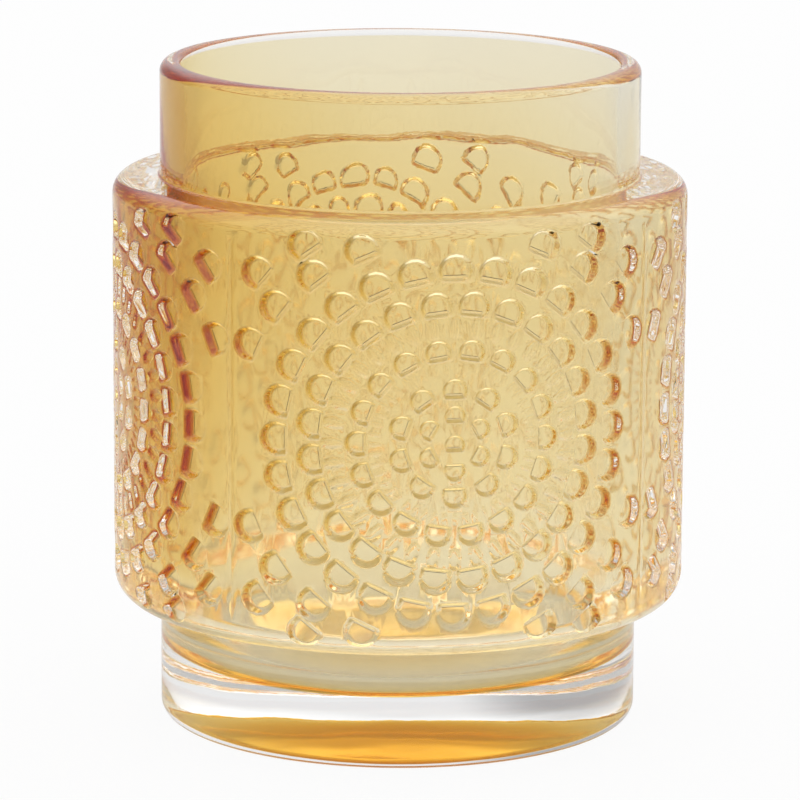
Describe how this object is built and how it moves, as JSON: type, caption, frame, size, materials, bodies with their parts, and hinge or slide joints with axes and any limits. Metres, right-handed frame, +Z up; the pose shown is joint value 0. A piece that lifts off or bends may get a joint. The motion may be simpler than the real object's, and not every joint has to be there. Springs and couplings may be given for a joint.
{
  "type": "tealight holder",
  "caption": "Round cased-glass tealight holder: a clear foot, wide relief body and plain neck over an amber lining that forms the cup.",
  "frame": {"origin": "centre of the foot's flat underside", "axes": "+Z up along the axis of revolution; a relief medallion faces -Y"},
  "size_m": [0.0786, 0.0786, 0.091],
  "materials": {
    "clear_glass": "polished, fire-finished on the lip, softly uneven",
    "amber_glass": "transparent amber, polished"
  },
  "bodies": {
    "root": {"clear_casing": "clear_glass", "amber_lining": "amber_glass"}
  },
  "joints": []
}
